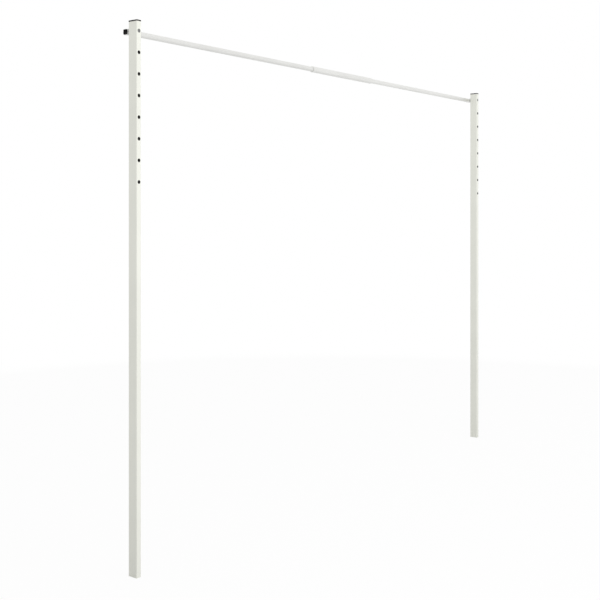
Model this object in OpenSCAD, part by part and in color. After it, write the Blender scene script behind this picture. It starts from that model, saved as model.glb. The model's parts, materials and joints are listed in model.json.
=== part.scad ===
// Height-adjustable horizontal bar: two drilled posts with a round bar pinned behind them.
// Millimetres. +X runs along the bar, -Y is the front, +Z is up. The origin lies on the floor
// line, midway between the posts.

/* [Posts] */
// Distance between the centres of the two posts
post_spacing = 3500; // [1200:10:4000]
// Length of a post's tube
post_h = 2575; // [1600:5:3200]
// Width of the tube, along the bar
post_w = 28; // [22:1:40]
// Depth of the tube, front to back
post_d = 55; // [36:1:80]
// Wall of the tube
post_wall = 2; // [1.5:0.5:3]
// Outer radius of the tube's rounded edges
post_edge_r = 4; // [2.5:0.5:6]

/* [Row of holes] */
// Number of holes down each post
hole_count = 8; // [2:1:10]
// Step from one hole to the next
hole_pitch = 100; // [50:5:150]
// From the tube's top end to the centre of the top hole
hole_from_top = 45; // [40:1:120]
// Play of a pin in the post's holes, all round
post_hole_play = 1.2; // [0.2:0.1:1.5]

/* [Bar] */
// Outer diameter of the bar
bar_d = 28; // [25:0.5:34]
// Wall of the bar's tube
bar_wall = 2.75; // [2:0.25:4]
// How far the bar's tube passes the posts' outer faces
bar_overhang = 1; // [1:0.5:20]
// Gap between the saddles and the posts' back faces
slide_gap = 0.3; // [0.2:0.1:1]

/* [Sleeve] */
// Place of the joint between the bar's two tubes, from the middle between the posts
joint_x = 40; // [-200:5:200]
// Length of the sleeve that covers the joint
sleeve_len = 640; // [400:10:900]
// Wall of the sleeve
sleeve_wall = 3.9; // [2.7:0.1:5]
// Clearance between the sleeve and the bar, all round
sleeve_fit = 0.1; // [0.05:0.05:0.3]
// Chamfer at the sleeve's ends
sleeve_chamfer = 1; // [0.5:0.1:2]

/* [Sleeve screws] */
// Thread diameter of the countersunk screws
screw_d = 5; // [4:0.5:5]
// Head diameter
screw_head_d = 9.2; // [8:0.1:9.6]
// Height of the head's cone
screw_head_h = 2.2; // [1.8:0.1:2.4]
// Length under and with the head
screw_len = 8; // [7:0.5:10]
// Distance from the sleeve's end to the first screw
screw_inset = 40; // [20:5:80]
// Distance between the two screws of one tube
screw_pitch = 200; // [60:5:240]
// Clearance around the screws, all round
screw_fit = 0.1; // [0.05:0.05:0.2]

/* [Saddles] */
// Thickness of a saddle where the bar comes nearest to the post
saddle_t = 3.7; // [2:0.1:8]
// How far a saddle's horns reach back around the bar, past that place
saddle_wrap = 6; // [3:0.5:8]
// Width of a saddle, along the bar
saddle_w = 24; // [20:1:27]
// Height of a saddle
saddle_h = 26; // [22:0.5:28]

/* [Pins] */
// Diameter of the pins
pin_d = 14; // [10:0.5:16]
// Clearance of a pin in the bar's bore, all round
pin_fit = 0.1; // [0.05:0.05:0.1]
// How far a pin's tip stands out of the post's front face
pin_tip_out = 0.5; // [0.5:0.5:6]
// Chamfer of the tip
pin_chamfer = 1; // [0.5:0.1:2]
// Diameter of the knurled head
pin_head_d = 22; // [18:0.5:24]
// Thickness of the head
pin_head_t = 7; // [5:0.5:12]
// Gap between the head and the back of the bar
pin_head_gap = 0.2; // [0.1:0.1:0.5]
// Number of grip grooves around the head
pin_groove_count = 18; // [12:1:24]
// Diameter of a grip groove
pin_groove_d = 1.6; // [1:0.1:2]

/* [Post caps] */
// Thickness of a cap's flange
cap_t = 6; // [3:0.5:8]
// How far the flange stands out past the tube, all round
cap_lip = 1; // [0.5:0.25:3]
// Rounding of the flange's top edge
cap_round = 2.5; // [1:0.25:2.5]
// Depth of the part inside the tube
cap_insert_h = 22; // [12:1:24]
// Wall of that part
cap_insert_wall = 2; // [1.5:0.25:3]
// Gap between that part and the tube, all round
cap_insert_gap = 0.6; // [0.4:0.1:1]
// Gap between its ribs and the tube
cap_rib_gap = 0.1; // [0.05:0.05:0.2]
// Height of a rib
cap_rib_h = 2; // [1:0.5:3]
// Distance from one rib to the next
cap_rib_pitch = 8; // [5:0.5:8]

/* [Bar plugs] */
// How far a plug's head stands out of the bar's end
plug_head_t = 3.5; // [2:0.5:8]
// How far the flats of its square head lie inside the bar's outline
plug_inset = 2.25; // [1:0.25:4]
// Radius of the head's corners
plug_corner_r = 2.5; // [2:0.5:6]
// Rounding of the head's outer edge
plug_round = 0.8; // [0.5:0.1:1.8]
// Clearance of the stem in the tube, all round
plug_fit = 0.1; // [0.05:0.05:0.2]
// Gap between the stem's end and the pin's bore
plug_stem_gap = 0.9; // [0.5:0.1:2]
// Wall of the stem
plug_stem_wall = 2; // [1.5:0.25:3]

/* [Hidden] */
$fn = 64;
cut = 1; // how far a cutting solid reaches past what it cuts
least_r = 0.5; // smallest radius of an inside edge

post_inner_w = post_w - 2 * post_wall;
post_inner_d = post_d - 2 * post_wall;
post_inner_r = max(post_edge_r - post_wall, least_r);
post_x = post_spacing / 2;
post_hole_d = pin_d + 2 * post_hole_play;

bar_bore_d = bar_d - 2 * bar_wall;
bar_half = post_x + post_w / 2 + bar_overhang;
bar_y = post_d / 2 + slide_gap + saddle_t + bar_d / 2;
bar_z = post_h - hole_from_top;
pin_bore_d = pin_d + 2 * pin_fit;

sleeve_bore_d = bar_d + 2 * sleeve_fit;
sleeve_d = sleeve_bore_d + 2 * sleeve_wall;

// The head of a screw is flush where its rim meets the round sleeve.
screw_top = sqrt(pow(sleeve_d / 2, 2) - pow(screw_head_d / 2, 2));
screw_socket_d = screw_d * 0.7;
screw_socket_h = screw_head_h * 0.75;

saddle_y = post_d / 2 + slide_gap;
pin_head_y = bar_y + bar_d / 2 + pin_head_gap;
pin_tip_y = -post_d / 2 - pin_tip_out;
pin_head_chamfer = pin_head_t / 7;

plug_head_w = bar_d - 2 * plug_inset;
plug_stem_d = bar_bore_d - 2 * plug_fit;
plug_stem_len = bar_half - post_x - pin_bore_d / 2 - plug_stem_gap;

paint = [0.93, 0.93, 0.90];
steel = [0.80, 0.80, 0.81];
dark_steel = [0.55, 0.55, 0.56];
black_plastic = [0.06, 0.06, 0.06];

// Outline of a tube with rounded edges
module rounded_rect(w, d, r) {
    square([w - 2 * r, d], center = true);
    square([w, d - 2 * r], center = true);
    for (sx = [-1, 1], sy = [-1, 1])
        translate([sx * (w / 2 - r), sy * (d / 2 - r)])
            circle(r = r);
}

// Flat plate whose vertical edges have radius r and whose top edge is rounded by t
module rounded_plate(w, d, h, r, t) {
    linear_extrude(h - t) rounded_rect(w, d, r);
    linear_extrude(h) rounded_rect(w - 2 * t, d - 2 * t, r - t);
    for (sx = [-1, 1], sy = [-1, 1])
        translate([sx * (w / 2 - r), sy * (d / 2 - r), h - t])
            rotate_extrude()
                intersection() {
                    union() {
                        translate([r - t, 0]) circle(r = t);
                        translate([0, -t]) square([r - t, 2 * t]);
                    }
                    square([r, t]);
                }
    for (s = [-1, 1]) {
        translate([s * (w / 2 - t), 0, h - t])
            rotate([90, 0, 0])
                cylinder(r = t, h = d - 2 * r, center = true);
        translate([0, s * (d / 2 - t), h - t])
            rotate([0, 90, 0])
                cylinder(r = t, h = w - 2 * r, center = true);
    }
}

// Turns a piece made along +Z at the bar's axis so that it runs along +X from x
module along_bar(x) {
    translate([x, bar_y, bar_z]) rotate([0, 90, 0]) children();
}

// Round bore through everything from front to back, at the bar's height
module cross_bore(d) {
    translate([post_x, bar_y, bar_z])
        rotate([90, 0, 0])
            cylinder(d = d, h = 2 * (bar_y + post_d), center = true);
}

// Places of the screws that hold the tube of side s, as drawn before it is mirrored
module at_screws(s) {
    for (i = [0, 1])
        translate([s * joint_x + sleeve_len / 2 - screw_inset - i * screw_pitch, bar_y, bar_z])
            children();
}

// Body of a countersunk screw, grown by a clearance all round
module screw_form(gap) {
    translate([0, 0, screw_top - screw_len])
        cylinder(d = screw_d + 2 * gap, h = screw_len);
    translate([0, 0, screw_top - screw_head_h])
        cylinder(d1 = screw_d + 2 * gap, d2 = screw_head_d + 2 * gap, h = screw_head_h);
}

// The pieces of one side are drawn for the right end and mirrored for the left.
module side(s) {
    if (s < 0) mirror([1, 0, 0]) children();
    else children();
}

module post() {
    color(paint)
        difference() {
            translate([post_x, 0, 0])
                linear_extrude(post_h) rounded_rect(post_w, post_d, post_edge_r);
            translate([post_x, 0, -cut])
                linear_extrude(post_h + 2 * cut)
                    rounded_rect(post_inner_w, post_inner_d, post_inner_r);
            for (i = [0 : hole_count - 1])
                translate([post_x, 0, bar_z - i * hole_pitch])
                    rotate([90, 0, 0])
                        cylinder(d = post_hole_d, h = post_d + 2 * cut, center = true);
        }
}

module post_cap() {
    insert_w = post_inner_w - 2 * cap_insert_gap;
    insert_d = post_inner_d - 2 * cap_insert_gap;
    rib_w = post_inner_w - 2 * cap_rib_gap;
    rib_d = post_inner_d - 2 * cap_rib_gap;
    color(black_plastic)
        translate([post_x, 0, post_h]) {
            rounded_plate(post_w + 2 * cap_lip, post_d + 2 * cap_lip, cap_t,
                          post_edge_r + cap_lip, cap_round);
            difference() {
                translate([0, 0, -cap_insert_h])
                    union() {
                        linear_extrude(cap_insert_h)
                            rounded_rect(insert_w, insert_d, post_inner_r);
                        for (i = [0, 1])
                            translate([0, 0, cap_rib_h + i * cap_rib_pitch])
                                linear_extrude(cap_rib_h)
                                    rounded_rect(rib_w, rib_d, post_inner_r);
                    }
                translate([0, 0, -cap_insert_h - cut])
                    linear_extrude(cap_insert_h)
                        rounded_rect(insert_w - 2 * cap_insert_wall,
                                     insert_d - 2 * cap_insert_wall, post_inner_r / 2);
            }
        }
}

module bar_tube(s) {
    start = s * joint_x;
    tube_len = bar_half - start;
    color(steel)
        difference() {
            along_bar(start) cylinder(d = bar_d, h = tube_len);
            along_bar(start - cut) cylinder(d = bar_bore_d, h = tube_len + 2 * cut);
            cross_bore(pin_bore_d);
            at_screws(s) cylinder(d = screw_d + 2 * screw_fit, h = bar_d);
        }
}

module bar_sleeve() {
    half = sleeve_len / 2;
    bore_r = sleeve_bore_d / 2;
    r = sleeve_d / 2;
    color(steel)
        difference() {
            along_bar(joint_x)
                rotate_extrude()
                    polygon([
                        [bore_r, -half], [r - sleeve_chamfer, -half], [r, -half + sleeve_chamfer],
                        [r, half - sleeve_chamfer], [r - sleeve_chamfer, half], [bore_r, half]
                    ]);
            for (s = [-1, 1])
                side(s) at_screws(s) {
                    screw_form(screw_fit);
                    translate([0, 0, screw_top])
                        cylinder(d = screw_head_d + 2 * screw_fit, h = sleeve_d / 2);
                }
        }
}

module sleeve_screws() {
    color(dark_steel)
        for (s = [-1, 1])
            side(s) at_screws(s)
                difference() {
                    screw_form(0);
                    translate([0, 0, screw_top - screw_socket_h])
                        cylinder(d = screw_socket_d, h = screw_socket_h + cut, $fn = 6);
                }
}

module bar_plug() {
    color(black_plastic)
        along_bar(bar_half) {
            rounded_plate(plug_head_w, plug_head_w, plug_head_t, plug_corner_r, plug_round);
            translate([0, 0, -plug_stem_len])
                difference() {
                    cylinder(d = plug_stem_d, h = plug_stem_len);
                    translate([0, 0, -cut])
                        cylinder(d = plug_stem_d - 2 * plug_stem_wall, h = plug_stem_len + cut);
                }
        }
}

module saddle() {
    color(steel)
        difference() {
            translate([post_x - saddle_w / 2, saddle_y, bar_z - saddle_h / 2])
                cube([saddle_w, saddle_t + saddle_wrap, saddle_h]);
            along_bar(0) cylinder(d = bar_d, h = bar_half + cut);
            cross_bore(pin_bore_d);
        }
}

module pin() {
    shaft_r = pin_d / 2;
    head_r = pin_head_d / 2;
    head_y = pin_head_y - pin_tip_y;
    full = head_y + pin_head_t;
    color(dark_steel)
        translate([post_x, pin_tip_y, bar_z])
            rotate([-90, 0, 0])
                difference() {
                    rotate_extrude()
                        polygon([
                            [0, 0], [shaft_r - pin_chamfer, 0], [shaft_r, pin_chamfer],
                            [shaft_r, head_y], [head_r - pin_head_chamfer, head_y],
                            [head_r, head_y + pin_head_chamfer], [head_r, full - pin_head_chamfer],
                            [head_r - pin_head_chamfer, full], [0, full]
                        ]);
                    for (i = [0 : pin_groove_count - 1])
                        rotate([0, 0, i * 360 / pin_groove_count])
                            translate([head_r, 0, head_y - cut])
                                cylinder(d = pin_groove_d, h = pin_head_t + 2 * cut);
                }
}

side(-1) post();  // left_post
side(1) post();  // right_post
side(-1) post_cap();  // left_post_cap
side(1) post_cap();  // right_post_cap
side(-1) bar_tube(-1);  // left_bar_tube
side(1) bar_tube(1);  // right_bar_tube
bar_sleeve();
sleeve_screws();
side(-1) bar_plug();  // left_bar_plug
side(1) bar_plug();  // right_bar_plug
side(-1) saddle();  // left_saddle
side(1) saddle();  // right_saddle
side(-1) pin();  // left_pin
side(1) pin();  // right_pin
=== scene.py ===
"""Looks of the height-adjustable horizontal bar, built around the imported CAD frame."""

import json
import math

import bpy
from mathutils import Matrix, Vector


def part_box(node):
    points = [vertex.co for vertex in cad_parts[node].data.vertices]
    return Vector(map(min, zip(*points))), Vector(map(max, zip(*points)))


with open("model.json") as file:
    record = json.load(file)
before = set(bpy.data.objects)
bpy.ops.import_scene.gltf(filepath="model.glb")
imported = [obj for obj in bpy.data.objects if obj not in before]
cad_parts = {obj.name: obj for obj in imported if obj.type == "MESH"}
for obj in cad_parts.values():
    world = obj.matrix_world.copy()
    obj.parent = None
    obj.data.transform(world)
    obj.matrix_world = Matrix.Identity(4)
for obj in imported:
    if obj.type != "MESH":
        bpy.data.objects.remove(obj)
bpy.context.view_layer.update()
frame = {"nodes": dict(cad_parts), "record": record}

# Places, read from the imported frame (metres)
post_low, post_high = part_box("right_post")
bar_low, bar_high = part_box("right_bar_tube")
post_x = (post_low.x + post_high.x) / 2
post_half_w = (post_high.x - post_low.x) / 2
post_half_d = post_high.y
bar_z = (bar_low.z + bar_high.z) / 2
free_holes = next(m for m in frame["record"]["mounts"] if m["name"] == "right_free_holes")
free_z = free_holes["pos_m"][2]
free_half = free_holes["dims"]["spacing_y_mm"] / 2000
hole_r = free_holes["dims"]["hole_r_mm"] / 1000
hole_pitch = bar_z - (free_z + free_half)
lowest_hole_z = free_z - free_half
row_foot_z = lowest_hole_z - hole_pitch / 2  # half a step under the lowest hole

# Rounding of the posts' edges, as in the part's source, and the paint's thickness with some spare
post_edge_r = 0.004
paint_t = 0.0003

# Finishes (linear colours)
PAINT = (0.862, 0.868, 0.797)
PAINT_WORN = (0.55, 0.56, 0.54)
RIM_WORN = (0.24, 0.24, 0.235)
# Bare steel, painted very dark as the shade inside the posts and their holes
BARE_STEEL_AND_SHADE = (0.07, 0.068, 0.065)
BAR_STEEL = (0.79, 0.79, 0.77)
SADDLE_STEEL = (0.70, 0.70, 0.69)
SCREW_STEEL = (0.50, 0.50, 0.51)
PIN_STEEL = (0.27, 0.27, 0.27)
BLACK = (0.005, 0.005, 0.005)

# The floor lights the object as grey near by and as near-white far out, and shows as near-white
FLOOR_NEAR = (0.44, 0.44, 0.44)
FLOOR_FAR = (0.95, 0.95, 0.95)
FLOOR_SEEN = (0.93, 0.93, 0.93)
FLOOR_SIZE = 200

# Camera: level, left of the left post and in front of the object
LENS_MM = 58.76
SENSOR_MM = 36.0
LENS_SHIFT = -0.1473
CAMERA_LEFT = 3.203
CAMERA_FRONT = 3.315
CAMERA_Z = 1.693
CAMERA_TURN = -53.59


# ---------------------------------------------------------------- node helpers

class Graph:
    """The node tree of a material or world, with short calls for the nodes used here."""

    def __init__(self, owner):
        owner.use_nodes = True
        self.owner = owner
        self.tree = owner.node_tree
        self.place = self.tree.nodes.new("ShaderNodeTexCoord").outputs["Object"]

    def put(self, socket, value):
        if isinstance(value, bpy.types.NodeSocket):
            self.tree.links.new(value, socket)
        elif isinstance(value, tuple) and socket.type == "RGBA":
            socket.default_value = (*value, 1.0)
        else:
            socket.default_value = value

    def surface(self, **values):
        """Sets inputs of the Principled shader, with _ for a blank in a name."""
        for name, value in values.items():
            self.put(self.tree.nodes["Principled BSDF"].inputs[name.replace("_", " ")], value)

    def math(self, operation, a, b=0.0, c=0.0):
        node = self.tree.nodes.new("ShaderNodeMath")
        node.operation = operation
        for socket, value in zip(node.inputs, (a, b, c)):
            self.put(socket, value)
        return node.outputs[0]

    def hypot(self, a, b):
        squares = self.math("ADD", self.math("POWER", a, 2.0), self.math("POWER", b, 2.0))
        return self.math("SQRT", squares)

    def past(self, value, limit):
        """How far a value lies past a limit, on either side of 0, and 0 within it."""
        return self.math("MAXIMUM", self.math("SUBTRACT", self.math("ABSOLUTE", value), limit), 0.0)

    def rays(self, *kinds):
        """1 for rays of any of these kinds, and 0 for the others."""
        path = self.tree.nodes.new("ShaderNodeLightPath")
        total = path.outputs[kinds[0]]
        for kind in kinds[1:]:
            total = self.math("MAXIMUM", total, path.outputs[kind])
        return total

    def stretched(self, x, y, z):
        """Object coordinates multiplied along each axis."""
        node = self.tree.nodes.new("ShaderNodeVectorMath")
        node.operation = "MULTIPLY"
        self.put(node.inputs[0], self.place)
        node.inputs[1].default_value = (x, y, z)
        return node.outputs[0]

    def axes(self):
        node = self.tree.nodes.new("ShaderNodeSeparateXYZ")
        self.put(node.inputs[0], self.place)
        return node.outputs

    def noise(self, scale, detail=3.0, vector=None):
        node = self.tree.nodes.new("ShaderNodeTexNoise")
        self.put(node.inputs["Vector"], self.place if vector is None else vector)
        node.inputs["Scale"].default_value = scale
        node.inputs["Detail"].default_value = detail
        return node.outputs[0]

    def grains(self, scale):
        node = self.tree.nodes.new("ShaderNodeTexVoronoi")
        self.put(node.inputs["Vector"], self.place)
        node.inputs["Scale"].default_value = scale
        return node.outputs[0]

    def spread(self, value, low, high, to_low, to_high):
        """Maps low..high smoothly to to_low..to_high, and stops there."""
        node = self.tree.nodes.new("ShaderNodeMapRange")
        node.interpolation_type = "SMOOTHSTEP"
        for socket, item in zip(node.inputs, (value, low, high, to_low, to_high)):
            self.put(socket, item)
        return node.outputs[0]

    def blend(self, share, first, second):
        node = self.tree.nodes.new("ShaderNodeMix")
        node.data_type = "RGBA"
        self.put(node.inputs[0], share)
        self.put(node.inputs[6], first)
        self.put(node.inputs[7], second)
        return node.outputs[2]

    def relief(self, height, depth, below=None):
        """Bump of the given depth in metres, laid over another one."""
        node = self.tree.nodes.new("ShaderNodeBump")
        node.inputs["Distance"].default_value = depth
        self.put(node.inputs["Height"], height)
        if below is not None:
            self.put(node.inputs["Normal"], below)
        return node.outputs[0]


def material_graph(name):
    return Graph(bpy.data.materials.new(name))


def tint(colour, factor):
    return tuple(min(c * factor, 1.0) for c in colour)


# ------------------------------------------------------------------- materials

def post_paint():
    """Off-white powder coat: fine orange peel, rubbed hole rims, scuffed feet and back.

    Inside the tube and in the holes, which the pins rub, the steel is bare, and painted very dark
    as the shade that falls in there.
    """
    g = material_graph("post_paint")
    x, y, z = g.axes()
    cloud = g.spread(g.noise(5.0, 2.0), 0.3, 0.7, 0.0, 1.0)
    colour = g.blend(cloud, tint(PAINT, 0.985), tint(PAINT, 1.015))

    # Distance from the axis of the nearest hole
    across = g.math("SUBTRACT", g.math("ABSOLUTE", x), post_x)
    step = g.math("SUBTRACT", z, row_foot_z)
    height = g.math("SUBTRACT", g.math("FLOORED_MODULO", step, hole_pitch), hole_pitch / 2)
    away = g.hypot(across, height)
    in_row = g.math("GREATER_THAN", z, row_foot_z)
    ring = g.math("MULTIPLY", g.spread(away, hole_r * 1.03, hole_r * 1.22, 1.0, 0.0), in_row)
    chips = g.spread(g.noise(500.0), 0.35, 0.6, 0.35, 1.0)
    rim = g.math("MULTIPLY", ring, chips)

    # Lengthwise scratches where the foot goes into its socket and where the saddle slides
    lines = g.spread(g.noise(1.0, 2.0, g.stretched(2200.0, 2200.0, 7.0)), 0.58, 0.66, 0.0, 1.0)
    foot_share = 0.35
    slid_share = 0.30
    face_t = 0.0005
    foot = g.spread(z, 0.06, 0.26, foot_share, 0.0)
    back = g.math("GREATER_THAN", y, post_half_d - face_t)
    slid = g.math("MULTIPLY", g.math("MULTIPLY", back, in_row), slid_share)
    scuffs = g.math("MULTIPLY", lines, g.math("MAXIMUM", foot, slid))
    worn = g.math("MAXIMUM", rim, scuffs)
    skin = g.blend(rim, g.blend(scuffs, colour, PAINT_WORN), RIM_WORN)

    # Everything more than a paint layer below the tube's outer, rounded skin, where bare steel is
    # painted very dark as the shade inside the tube and holes
    outward = g.hypot(
        g.past(across, post_half_w - post_edge_r),
        g.past(y, post_half_d - post_edge_r),
    )
    inside = g.math("LESS_THAN", outward, post_edge_r - paint_t)

    peel = g.noise(420.0, 2.0)
    peel_depth = 0.00005
    worn_depth = 0.00004
    smooth = g.spread(g.noise(40.0), 0.3, 0.7, 0.36, 0.46)
    g.surface(
        # Below the skin: bare steel, painted very dark as the shade inside the tube and holes
        Base_Color=g.blend(inside, skin, BARE_STEEL_AND_SHADE),
        Roughness=g.math("ADD", smooth, g.math("MULTIPLY", worn, 0.15)),
        Normal=g.relief(worn, -worn_depth, g.relief(peel, peel_depth)),
        Specular_IOR_Level=0.3,
    )
    return g.owner


def ground_steel(name, colour, rough_low, rough_high):
    """Bright tube, ground and polished lengthwise: long fine lines and soft clouds."""
    g = material_graph(name)
    lines = g.noise(1.0, 5.0, g.stretched(14.0, 1400.0, 1400.0))
    bands = g.noise(1.0, 2.0, g.stretched(3.0, 160.0, 160.0))
    cloud = g.noise(2.2, 3.0)
    shade = g.math("ADD", g.math("MULTIPLY", lines, 0.5), g.math("MULTIPLY", cloud, 0.5))
    light = g.spread(shade, 0.35, 0.65, 0.0, 1.0)
    dull = g.math("MULTIPLY_ADD", bands, 0.6, g.math("MULTIPLY", lines, 0.4))
    g.surface(
        Base_Color=g.blend(light, tint(colour, 0.95), tint(colour, 1.05)),
        Metallic=0.75,
        Roughness=g.spread(dull, 0.35, 0.65, rough_low, rough_high),
        Normal=g.relief(lines, 0.000012),
    )
    return g.owner


def turned_steel():
    """Pins: grey turned steel, with rings around the axis and a dull, slightly stained skin."""
    g = material_graph("pin_steel")
    x, y, z = g.axes()
    across = g.math("SUBTRACT", g.math("ABSOLUTE", x), post_x)
    away = g.hypot(across, g.math("SUBTRACT", z, bar_z))
    ring_pitch = 0.0004
    rings = g.math("SINE", g.math("MULTIPLY", g.math("ADD", away, y), 2 * math.pi / ring_pitch))
    stain = g.spread(g.noise(260.0), 0.35, 0.65, 0.0, 1.0)
    g.surface(
        Base_Color=g.blend(stain, tint(PIN_STEEL, 0.9), tint(PIN_STEEL, 1.1)),
        Metallic=1.0,
        Roughness=g.spread(stain, 0.0, 1.0, 0.38, 0.5),
        Normal=g.relief(rings, 0.000008),
    )
    return g.owner


def zinc_steel():
    """Screws: zinc plate with small crystalline patches."""
    g = material_graph("screw_steel")
    patch = g.grains(900.0)
    g.surface(
        Base_Color=g.blend(patch, tint(SCREW_STEEL, 0.85), tint(SCREW_STEEL, 1.1)),
        Metallic=1.0,
        Roughness=g.spread(patch, 0.0, 1.0, 0.28, 0.42),
        Normal=g.relief(g.noise(2500.0), 0.00001),
    )
    return g.owner


def moulded_plastic():
    """Caps and plugs: black polyethylene with a fine spark-eroded grain."""
    g = material_graph("black_plastic")
    grain = g.noise(1800.0, 3.0)
    g.surface(
        Base_Color=g.blend(g.noise(60.0), tint(BLACK, 0.8), tint(BLACK, 1.3)),
        Roughness=g.spread(grain, 0.3, 0.7, 0.5, 0.65),
        Normal=g.relief(grain, 0.00004),
        Specular_IOR_Level=0.08,
    )
    return g.owner


def dress_cad():
    """Gives every CAD node its finish."""
    steel = ground_steel("bar_steel", BAR_STEEL, 0.26, 0.38)
    black = moulded_plastic()
    paint = post_paint()
    pin = turned_steel()
    saddle = ground_steel("saddle_steel", SADDLE_STEEL, 0.35, 0.5)
    finishes = {
        "bar_sleeve": steel,
        "sleeve_screws": zinc_steel(),
    }
    for side in ("left", "right"):
        finishes[f"{side}_post"] = paint
        finishes[f"{side}_post_cap"] = black
        finishes[f"{side}_bar_tube"] = steel
        finishes[f"{side}_bar_plug"] = black
        finishes[f"{side}_saddle"] = saddle
        finishes[f"{side}_pin"] = pin
    for name, material in finishes.items():
        mesh = frame["nodes"][name].data
        mesh.materials.clear()
        mesh.materials.append(material)


# ------------------------------------------------------------- stage and light

def make_floor():
    """Pale floor: plain white far out for the rays that show it, and with the shadow near by.

    Only part of a glossy ray is whitened near by, so that metal shows some of the floor.
    """
    camera_white = 0.9
    gloss_white = 0.25
    bpy.ops.mesh.primitive_plane_add(size=FLOOR_SIZE)
    floor = bpy.context.object
    floor.name = "floor"
    g = material_graph("floor_white")
    length = g.tree.nodes.new("ShaderNodeVectorMath")
    length.operation = "LENGTH"
    g.put(length.inputs[0], g.place)
    distance = length.outputs["Value"]
    direct = g.rays("Is Camera Ray", "Is Transmission Ray")
    gloss = g.rays("Is Glossy Ray")
    seen = g.math("MAXIMUM", direct, gloss)
    whiteness = g.math(
        "ADD",
        g.math("MULTIPLY", direct, camera_white),
        g.math("MULTIPLY", gloss, gloss_white),
    )
    lighting = g.blend(g.spread(distance, 1.0, 9.0, 0.0, 1.0), FLOOR_NEAR, FLOOR_FAR)
    g.surface(
        Base_Color=g.blend(seen, lighting, FLOOR_SEEN),
        Roughness=0.9,
        Specular_IOR_Level=0.1,
    )
    white = g.tree.nodes.new("ShaderNodeEmission")
    mix = g.tree.nodes.new("ShaderNodeMixShader")
    far = g.spread(distance, 2.5, 6.0, 0.0, 1.0)
    g.put(mix.inputs[0], g.math("MAXIMUM", whiteness, g.math("MULTIPLY", far, seen)))
    g.put(mix.inputs[1], g.tree.nodes["Principled BSDF"].outputs[0])
    g.put(mix.inputs[2], white.outputs[0])
    g.put(g.tree.nodes["Material Output"].inputs["Surface"], mix.outputs[0])
    floor.data.materials.append(g.owner)


def make_world(ambient):
    """Even light from all around, and plain white for the rays that show the surroundings."""
    world = bpy.data.worlds.new("studio")
    bpy.context.scene.world = world
    g = Graph(world)
    background = g.tree.nodes["Background"]
    seen = g.rays("Is Camera Ray", "Is Glossy Ray", "Is Transmission Ray")
    g.put(background.inputs["Color"], (1.0, 1.0, 1.0))
    g.put(background.inputs["Strength"], g.math("MULTIPLY_ADD", seen, 1.0 - ambient, ambient))


def make_lamp(name, place, aim, width, height, power):
    """Soft area lamp, hidden from gloss so that steel shows the pale room and no glare."""
    lamp = bpy.data.lights.new(name, "AREA")
    lamp.shape = "RECTANGLE"
    lamp.size, lamp.size_y = width, height
    lamp.energy = power
    holder = bpy.data.objects.new(name, lamp)
    bpy.context.scene.collection.objects.link(holder)
    holder.location = place
    holder.visible_glossy = False
    way = tuple(a - p for a, p in zip(aim, place))
    flat = math.hypot(way[0], way[1])
    holder.rotation_euler = (math.atan2(flat, -way[2]), 0, math.atan2(-way[0], way[1]))


def make_camera():
    """Level camera left of the object, with a shift that brings the feet into the frame."""
    lens = bpy.data.cameras.new("camera")
    lens.sensor_width = SENSOR_MM
    lens.lens = LENS_MM
    lens.shift_y = LENS_SHIFT
    camera = bpy.data.objects.new("camera", lens)
    bpy.context.scene.collection.objects.link(camera)
    camera.location = (-post_x - CAMERA_LEFT, -CAMERA_FRONT, CAMERA_Z)
    camera.rotation_euler = (math.radians(90), 0, math.radians(CAMERA_TURN))
    bpy.context.scene.camera = camera


bpy.context.scene.view_settings.view_transform = "Standard"
dress_cad()
make_floor()
make_world(ambient=0.85)
make_lamp("key", place=(-1.0, -6.0, 1.8), aim=(0.3, 0.0, 1.2), width=4.0, height=3.0, power=125)
make_camera()
